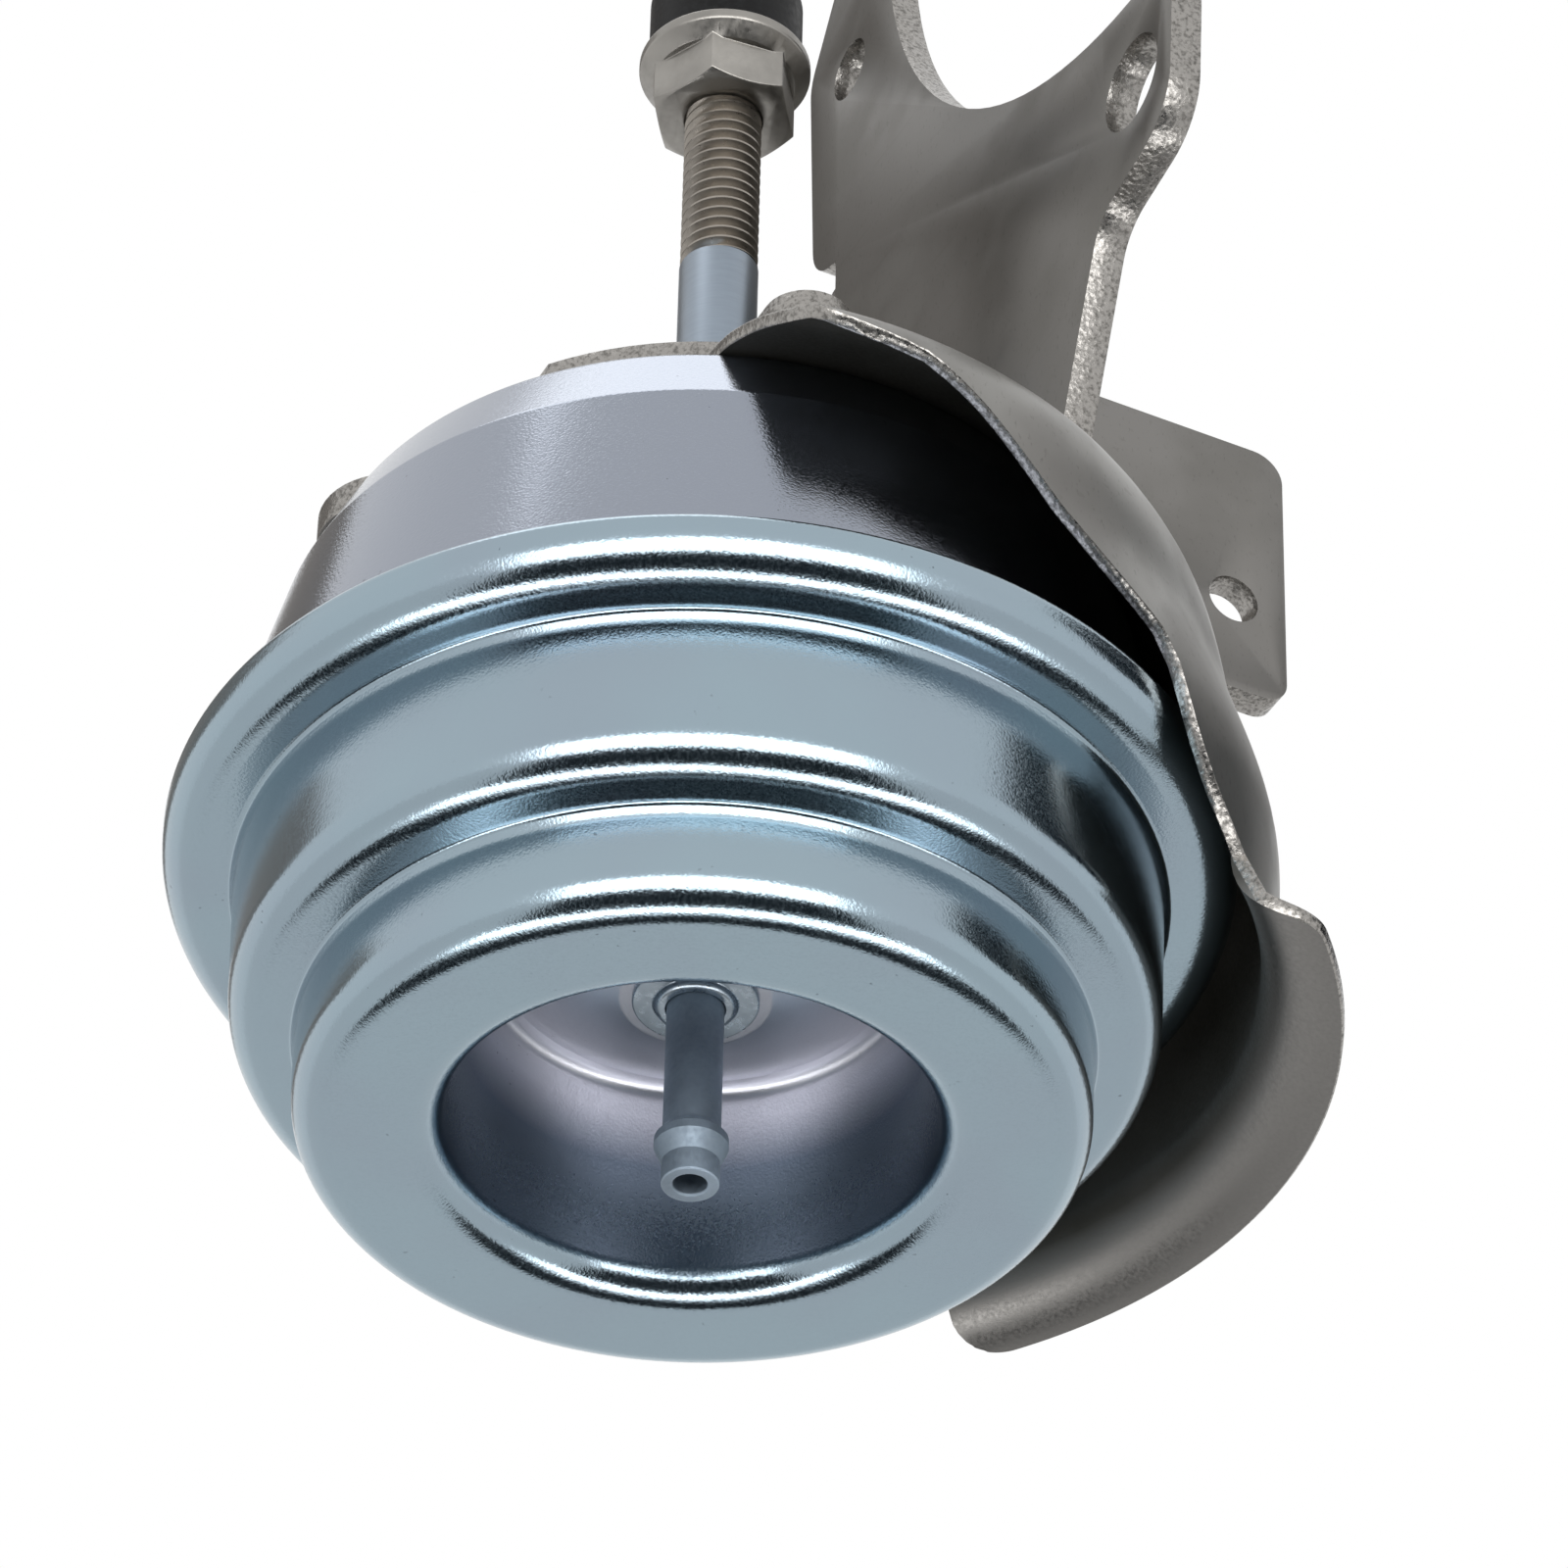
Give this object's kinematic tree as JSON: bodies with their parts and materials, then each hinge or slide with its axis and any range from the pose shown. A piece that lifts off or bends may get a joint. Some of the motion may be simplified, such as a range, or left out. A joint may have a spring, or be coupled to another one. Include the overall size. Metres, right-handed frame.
{
  "type": "vacuum wastegate actuator",
  "caption": "Round stepped and crimped vacuum can with a recessed hose nipple, sliding threaded push rod with lock nut and rod end, slanting heat shield and folded mounting bracket.",
  "frame": {"origin": "on the can's axis in the middle of the bead near the vacuum nipple's tip", "axes": "+Z along the can's axis towards the rod end, +X towards the side that the heat shield covers, +Y across, so that the bracket's upright plate is square to X"},
  "size_m": [0.0963, 0.0784, 0.1391],
  "materials": {
    "zinc_plated_steel": "satin, pale blue zinc plating",
    "nipple_steel": "satin, zinc plated",
    "stainless_sheet": "matt rolled sheet with bright sheared edges",
    "rivet_steel": "satin",
    "rod_steel": "satin, zinc plated",
    "nut_steel": "satin",
    "blackened_steel": "black oxide, satin",
    "bearing_bronze": "plain machined",
    "inner_steel": "satin",
    "spring_steel": "drawn wire",
    "diaphragm_rubber": "matt black fabric-reinforced rubber"
  },
  "bodies": {
    "can": {"lower_can": "zinc_plated_steel", "upper_can": "zinc_plated_steel", "diaphragm": "diaphragm_rubber", "return_spring": "spring_steel", "rod_guide_bush": "bearing_bronze", "guide_cap": "inner_steel", "rod_seal": "diaphragm_rubber", "vacuum_nipple": "nipple_steel", "nipple_collar": "nipple_steel", "bracket": "stainless_sheet", "heat_shield": "stainless_sheet", "bracket_rivet_1": "rivet_steel", "bracket_rivet_2": "rivet_steel", "bracket_rivet_3": "rivet_steel"},
    "rod": {"push_rod": "rod_steel", "piston_cup": "inner_steel", "piston_plate": "inner_steel", "piston_washer": "inner_steel", "lock_nut": "nut_steel", "rod_end": "blackened_steel", "rod_end_bush": "bearing_bronze"}
  },
  "joints": [
    {"name": "rod_slide", "type": "slide", "parent": "can", "child": "rod", "axis": [0, 0, 1], "range_m": [-0.01, 0], "stiffness_N_per_m": 4000, "springref_m": 0.008, "deforming": ["return_spring", "diaphragm"]}
  ]
}
